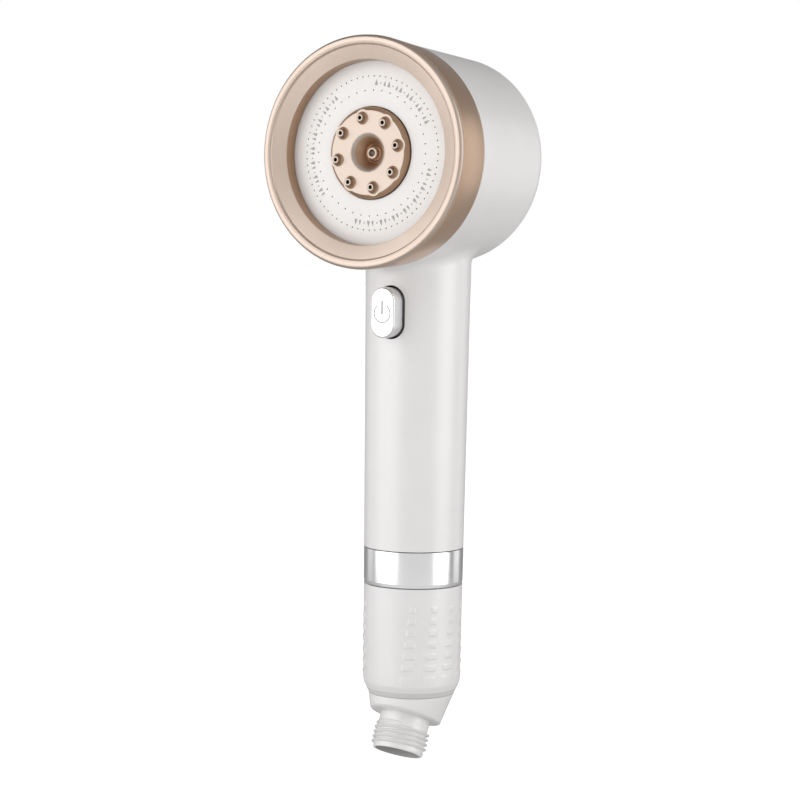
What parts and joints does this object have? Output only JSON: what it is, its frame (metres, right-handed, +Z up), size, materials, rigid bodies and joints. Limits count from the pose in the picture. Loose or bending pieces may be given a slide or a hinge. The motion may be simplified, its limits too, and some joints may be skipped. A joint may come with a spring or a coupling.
{
  "type": "handheld shower head",
  "caption": "Handheld shower head with a deep drum head, a turning spray face, a push-button stop valve and a screw-off filter handle with a threaded, forward-tilted inlet.",
  "frame": {"origin": "on the handle's axis, at the underside of the lower handle where a wall bracket's cradle takes the boot", "axes": "+Z up the handle's axis towards the head, -Y towards the side the spray leaves from, +X to the viewer's right when facing the spray side"},
  "size_m": [0.084, 0.0734, 0.2687],
  "materials": {
    "white_plastic": "white ABS, satin gloss",
    "gold_plating": "champagne-gold plated ABS, satin side and bright lip",
    "chrome": "bright chrome plating",
    "steel": "plain stainless steel",
    "brass": "machined brass",
    "rubber": "black sealing rubber",
    "natural_plastic": "unpainted moulded plastic",
    "dark_plastic": "dark grey moulded plastic",
    "filter_fibre": "pressed white filter fibre"
  },
  "bodies": {
    "body": {"head_shell": "white_plastic", "handle_shell": "white_plastic", "trim_ring": "chrome", "neck_o_ring": "rubber", "valve_body": "natural_plastic", "valve_plug": "natural_plastic", "return_spring": "steel", "button_seal": "rubber", "supply_tube": "natural_plastic", "supply_o_ring": "rubber", "tube_collar": "natural_plastic", "riser_elbow": "natural_plastic", "riser_o_ring": "rubber", "manifold": "natural_plastic", "manifold_seal": "rubber", "manifold_screw_1": "steel", "manifold_screw_2": "steel", "manifold_screw_3": "steel", "port_seal": "rubber", "detent_ball": "steel", "detent_spring": "steel", "bezel_o_ring": "rubber", "pivot_washer": "steel", "pivot_screw": "steel"},
    "face": {"bezel_ring": "gold_plating", "spray_plate": "white_plastic", "centre_disc": "gold_plating", "centre_jet": "dark_plastic", "face_gasket": "rubber", "flow_divider": "natural_plastic"},
    "button": {"stop_button": "chrome", "valve_spool": "brass", "spool_o_ring_front": "rubber", "spool_o_ring_rear": "rubber"},
    "filter": {"filter_cartridge": "filter_fibre", "filter_cap_top": "natural_plastic", "filter_cap_bottom": "natural_plastic", "filter_o_ring": "rubber"},
    "lower": {"lower_handle": "white_plastic", "inlet_connector": "white_plastic", "connector_o_ring": "rubber", "flow_limiter": "dark_plastic", "inlet_screen": "steel"}
  },
  "joints": [
    {"name": "button_press", "type": "slide", "parent": "body", "child": "button", "axis": [0, 1, 0], "range_m": [0, 0.003], "stiffness_N_per_m": 500, "springref_m": -0.004, "deforming": ["return_spring"]},
    {"name": "face_turn", "type": "hinge", "parent": "body", "child": "face", "pos_m": [0, -0.0422, 0.2017], "axis": [0, -0.9994, 0.0349], "range_deg": [-60, 60]},
    {"name": "filter_slide", "type": "slide", "parent": "body", "child": "filter", "axis": [0, 0, -1], "range_m": [0, 0.009]},
    {"name": "lower_handle_turn", "type": "hinge", "parent": "filter", "child": "lower", "pos_m": [0, 0, 0.02], "axis": [0, 0, -1], "range_deg": [0, 1080]}
  ],
  "couplings": [
    {"joint": "lower_handle_turn", "follows": "filter_slide", "rad_per_m": 2094.4}
  ]
}
